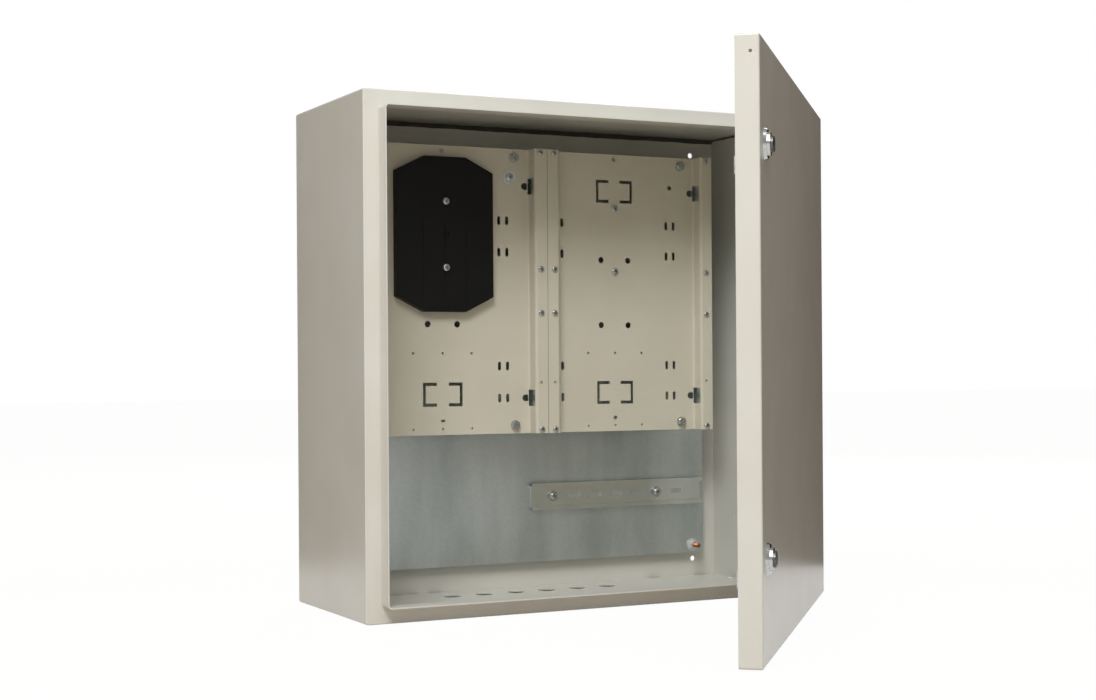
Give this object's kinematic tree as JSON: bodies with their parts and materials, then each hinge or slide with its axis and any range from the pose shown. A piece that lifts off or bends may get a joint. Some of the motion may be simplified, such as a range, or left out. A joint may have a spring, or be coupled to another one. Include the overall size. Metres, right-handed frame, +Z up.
{
  "type": "roadside utility cabinet",
  "caption": "Square sheet-steel utility enclosure with a swung-open pan door, quarter-turn locks, galvanised mounting plate, recessed meter plates and a slotted device rail.",
  "frame": {"origin": "centre of the wall face, in the middle of the four wall-fixing holes", "axes": "+Z up, +Y towards the wall, +X to the right seen from the front; the door faces -Y when shut"},
  "size_m": [0.6059, 0.7012, 0.6],
  "materials": {
    "case_paint": "textured light grey powder coat, semi-matt",
    "tray_paint": "smooth cream powder coat, satin",
    "galvanised": "hot-dip galvanised sheet, satin with fine spangle",
    "zinc_plate": "bright zinc-plated steel",
    "copper_plate": "copper-plated steel",
    "lock_metal": "satin chrome on die-cast zinc",
    "lock_socket": "dull nickel on die-cast zinc",
    "board_plastic": "black moulded plastic, fine texture",
    "sealant": "dark grey seam sealant, matt",
    "gasket_foam": "black foamed gasket, matt"
  },
  "bodies": {
    "cabinet": {"body_shell": "case_paint", "back_panel": "case_paint", "roof_sealant": "sealant", "mounting_plate": "galvanised", "din_rail": "galvanised", "support_rail_left": "galvanised", "support_rail_centre": "galvanised", "support_rail_right": "galvanised", "mounting_studs": "zinc_plate", "mounting_spacers": "zinc_plate", "mounting_washers": "zinc_plate", "mounting_nuts": "zinc_plate", "earth_stud": "copper_plate", "earth_stud_nut": "zinc_plate", "earth_stud_washer": "zinc_plate", "rail_screws": "zinc_plate", "rail_washers": "zinc_plate", "rail_nuts": "zinc_plate", "support_bolts": "zinc_plate", "meter_plate_left": "tray_paint", "meter_plate_right": "tray_paint", "strip_screws_left": "zinc_plate", "strip_screws_right": "zinc_plate", "stay_pillars": "zinc_plate", "stay_washers": "zinc_plate", "stay_bolts": "zinc_plate", "meter_screws": "zinc_plate", "tray_nuts": "zinc_plate", "earth_washer": "zinc_plate", "earth_screw": "zinc_plate", "meter_board": "board_plastic", "board_screws": "zinc_plate", "bracket_screws": "zinc_plate", "bracket_nuts": "zinc_plate", "hinge_bracket_upper": "zinc_plate", "hinge_pin_upper": "zinc_plate", "hinge_bracket_lower": "zinc_plate", "hinge_pin_lower": "zinc_plate"},
    "door": {"door_panel": "case_paint", "door_gasket": "gasket_foam", "hinge_leaf_upper": "zinc_plate", "hinge_leaf_lower": "zinc_plate", "leaf_studs": "zinc_plate", "leaf_nuts": "zinc_plate", "lock_housing_upper": "lock_metal", "lock_housing_lower": "lock_metal", "lock_nut_upper": "zinc_plate", "lock_nut_lower": "zinc_plate"},
    "lock_upper": {"lock_insert_upper": "lock_socket", "lock_cam_upper": "zinc_plate", "cam_screw_upper": "zinc_plate"},
    "lock_lower": {"lock_insert_lower": "lock_socket", "lock_cam_lower": "zinc_plate", "cam_screw_lower": "zinc_plate"}
  },
  "joints": [
    {"name": "door_hinge", "type": "hinge", "parent": "cabinet", "child": "door", "pos_m": [0.2955, -0.244, 0], "axis": [0, 0, 1], "range_deg": [-49.2, 60.8]},
    {"name": "upper_lock_turn", "type": "hinge", "parent": "door", "child": "lock_upper", "pos_m": [-0.07312, -0.66492, 0.1975], "axis": [-0.757, 0.6534, 0], "range_deg": [0, 90]},
    {"name": "lower_lock_turn", "type": "hinge", "parent": "door", "child": "lock_lower", "pos_m": [-0.07312, -0.66492, -0.1975], "axis": [-0.757, 0.6534, 0], "range_deg": [0, 90]}
  ]
}
